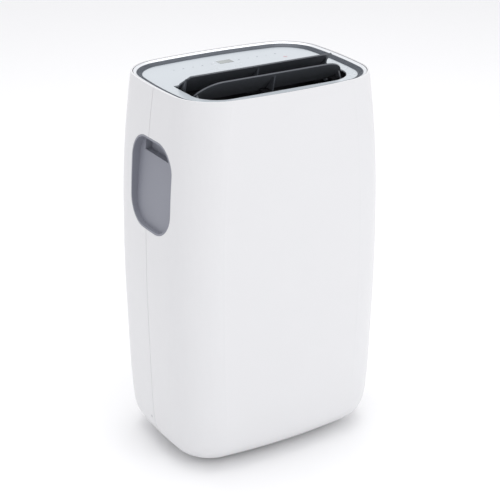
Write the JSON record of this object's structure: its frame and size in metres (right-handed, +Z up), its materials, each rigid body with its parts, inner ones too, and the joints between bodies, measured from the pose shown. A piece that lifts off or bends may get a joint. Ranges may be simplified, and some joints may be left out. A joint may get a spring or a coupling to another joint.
{
  "type": "portable air conditioner",
  "caption": "Upright floor-standing portable air conditioner with tilting top louvers, side grips, rear filters and swivel casters.",
  "frame": {"origin": "on the floor, under the middle of the housing", "axes": "+Z up along the tall side, +X to the right seen from the front, +Y towards the back; the front faces -Y"},
  "size_m": [0.4324, 0.3184, 0.714],
  "materials": {
    "shell_white": "fine satin moulded plastic",
    "deck_grey": "pale blue-grey satin plastic",
    "trim_silver": "silver painted plastic",
    "band_grey": "dark grey ribbed plastic",
    "handle_grey": "mid grey moulded plastic",
    "display_lens": "smoked translucent window",
    "circuit_board": "green circuit board",
    "duct_black": "black moulded plastic",
    "louver_charcoal": "charcoal moulded plastic",
    "motor_steel": "plated steel",
    "caster_grey": "grey nylon",
    "caster_tread": "black tread",
    "pan_black": "black moulded plastic",
    "liner_grey": "light grey moulded plastic",
    "blower_white": "natural plastic",
    "coil_aluminium": "stamped fins",
    "compressor_black": "black enamel",
    "rubber_black": "moulded rubber",
    "sheet_steel": "galvanised sheet",
    "copper": "drawn copper tube"
  },
  "bodies": {
    "housing": {"accumulator": "compressor_black", "base_pan": "pan_black", "capillary_tube": "copper", "compressor": "compressor_black", "compressor_mounts": "rubber_black", "condenser_coil": "coil_aluminium", "control_board": "circuit_board", "control_box": "sheet_steel", "control_box_cover": "sheet_steel", "cord_bush": "rubber_black", "discharge_duct": "liner_grey", "discharge_pipe": "copper", "display_board": "circuit_board", "display_window": "display_lens", "evaporator_coil": "coil_aluminium", "exhaust_collar": "shell_white", "front_shell": "shell_white", "handle_cup_left": "handle_grey", "handle_cup_right": "handle_grey", "louver_motor": "motor_steel", "lower_motor": "motor_steel", "lower_scroll": "liner_grey", "outlet_duct": "duct_black", "outlet_guard": "duct_black", "partition_tray": "liner_grey", "rear_shell": "shell_white", "ribbed_band": "band_grey", "rim_ring": "trim_silver", "screws_and_bolts": "motor_steel", "slinger_motor": "motor_steel", "suction_pipe": "copper", "terminal_cover": "rubber_black", "top_deck": "deck_grey", "upper_motor": "motor_steel", "upper_scroll": "liner_grey"},
    "louver_front": {"louver_front": "louver_charcoal"},
    "louver_rear": {"louver_rear": "louver_charcoal"},
    "louver_link": {"louver_link": "duct_black"},
    "vane_bar": {"vane_bar": "louver_charcoal"},
    "upper_fan": {"upper_fan": "blower_white"},
    "lower_fan": {"lower_fan": "blower_white"},
    "slinger": {"slinger_wheel": "blower_white"},
    "upper_filter_door": {"upper_grille": "shell_white", "upper_filter": "duct_black"},
    "lower_filter_door": {"lower_grille": "shell_white", "lower_filter": "duct_black"},
    "upper_drain_cap": {"drain_cap_upper": "shell_white"},
    "lower_drain_cap": {"drain_cap_lower": "shell_white"},
    "vane_1": {"vane_1": "louver_charcoal"},
    "vane_2": {"vane_2": "louver_charcoal"},
    "vane_3": {"vane_3": "louver_charcoal"},
    "vane_4": {"vane_4": "louver_charcoal"},
    "fork_front_left": {"caster_fork_front_left": "caster_grey"},
    "wheels_front_left": {"caster_wheels_front_left": "caster_tread"},
    "fork_front_right": {"caster_fork_front_right": "caster_grey"},
    "wheels_front_right": {"caster_wheels_front_right": "caster_tread"},
    "fork_rear_left": {"caster_fork_rear_left": "caster_grey"},
    "wheels_rear_left": {"caster_wheels_rear_left": "caster_tread"},
    "fork_rear_right": {"caster_fork_rear_right": "caster_grey"},
    "wheels_rear_right": {"caster_wheels_rear_right": "caster_tread"}
  },
  "joints": [
    {"name": "louver_tilt", "type": "hinge", "parent": "housing", "child": "louver_front", "pos_m": [0, -0.0684, 0.6751], "axis": [-1, 0, 0], "range_deg": [-45, 15]},
    {"name": "louver_rear_tilt", "type": "hinge", "parent": "housing", "child": "louver_rear", "pos_m": [0, -0.0149, 0.6751], "axis": [-1, 0, 0], "range_deg": [-45, 15]},
    {"name": "louver_link_pivot", "type": "hinge", "parent": "louver_front", "child": "louver_link", "pos_m": [0.143, -0.0783, 0.6652], "axis": [-1, 0, 0], "range_deg": [-15, 45]},
    {"name": "vane_1_swing", "type": "hinge", "parent": "housing", "child": "vane_1", "pos_m": [-0.114, -0.051, 0.64], "axis": [0, 0, 1], "range_deg": [-25, 25]},
    {"name": "vane_2_swing", "type": "hinge", "parent": "housing", "child": "vane_2", "pos_m": [-0.038, -0.051, 0.64], "axis": [0, 0, 1], "range_deg": [-25, 25]},
    {"name": "vane_3_swing", "type": "hinge", "parent": "housing", "child": "vane_3", "pos_m": [0.038, -0.051, 0.64], "axis": [0, 0, 1], "range_deg": [-25, 25]},
    {"name": "vane_4_swing", "type": "hinge", "parent": "housing", "child": "vane_4", "pos_m": [0.114, -0.051, 0.64], "axis": [0, 0, 1], "range_deg": [-25, 25]},
    {"name": "vane_bar_slide", "type": "slide", "parent": "housing", "child": "vane_bar", "axis": [-1, 0, 0], "range_m": [-0.007, 0.007]},
    {"name": "upper_fan_spin", "type": "hinge", "parent": "housing", "child": "upper_fan", "pos_m": [-0.012, -0.08, 0.547], "axis": [0, 1, 0], "continuous": true},
    {"name": "lower_fan_spin", "type": "hinge", "parent": "housing", "child": "lower_fan", "pos_m": [0.06, -0.03, 0.192], "axis": [0, 1, 0], "continuous": true},
    {"name": "slinger_spin", "type": "hinge", "parent": "housing", "child": "slinger", "pos_m": [0.03, 0.09, 0.048], "axis": [0, 1, 0], "continuous": true},
    {"name": "upper_filter_door_hinge", "type": "hinge", "parent": "housing", "child": "upper_filter_door", "pos_m": [0, 0.134, 0.489], "axis": [-1, 0, 0], "range_deg": [0, 60]},
    {"name": "lower_filter_door_hinge", "type": "hinge", "parent": "housing", "child": "lower_filter_door", "pos_m": [0, 0.14, 0.08], "axis": [-1, 0, 0], "range_deg": [0, 60]},
    {"name": "upper_drain_cap_pull", "type": "slide", "parent": "housing", "child": "upper_drain_cap", "axis": [0, 1, 0], "range_m": [0, 0.02]},
    {"name": "lower_drain_cap_pull", "type": "slide", "parent": "housing", "child": "lower_drain_cap", "axis": [0, 1, 0], "range_m": [0, 0.02]},
    {"name": "caster_front_left_swivel", "type": "hinge", "parent": "housing", "child": "fork_front_left", "pos_m": [-0.118, -0.062, 0.04], "axis": [0, 0, 1], "continuous": true},
    {"name": "caster_front_left_roll", "type": "hinge", "parent": "fork_front_left", "child": "wheels_front_left", "pos_m": [-0.118, -0.052, 0.018], "axis": [1, 0, 0], "continuous": true},
    {"name": "caster_front_right_swivel", "type": "hinge", "parent": "housing", "child": "fork_front_right", "pos_m": [0.118, -0.062, 0.04], "axis": [0, 0, 1], "continuous": true},
    {"name": "caster_front_right_roll", "type": "hinge", "parent": "fork_front_right", "child": "wheels_front_right", "pos_m": [0.118, -0.052, 0.018], "axis": [1, 0, 0], "continuous": true},
    {"name": "caster_rear_left_swivel", "type": "hinge", "parent": "housing", "child": "fork_rear_left", "pos_m": [-0.118, 0.062, 0.04], "axis": [0, 0, 1], "continuous": true},
    {"name": "caster_rear_left_roll", "type": "hinge", "parent": "fork_rear_left", "child": "wheels_rear_left", "pos_m": [-0.118, 0.072, 0.018], "axis": [1, 0, 0], "continuous": true},
    {"name": "caster_rear_right_swivel", "type": "hinge", "parent": "housing", "child": "fork_rear_right", "pos_m": [0.118, 0.062, 0.04], "axis": [0, 0, 1], "continuous": true},
    {"name": "caster_rear_right_roll", "type": "hinge", "parent": "fork_rear_right", "child": "wheels_rear_right", "pos_m": [0.118, 0.072, 0.018], "axis": [1, 0, 0], "continuous": true}
  ],
  "couplings": [
    {"joint": "louver_rear_tilt", "follows": "louver_tilt", "ratio": 1},
    {"joint": "louver_link_pivot", "follows": "louver_tilt", "ratio": -1},
    {"joint": "vane_2_swing", "follows": "vane_1_swing", "ratio": 1},
    {"joint": "vane_3_swing", "follows": "vane_1_swing", "ratio": 1},
    {"joint": "vane_4_swing", "follows": "vane_1_swing", "ratio": 1},
    {"joint": "vane_bar_slide", "follows": "vane_1_swing", "m_per_rad": 0.015}
  ]
}
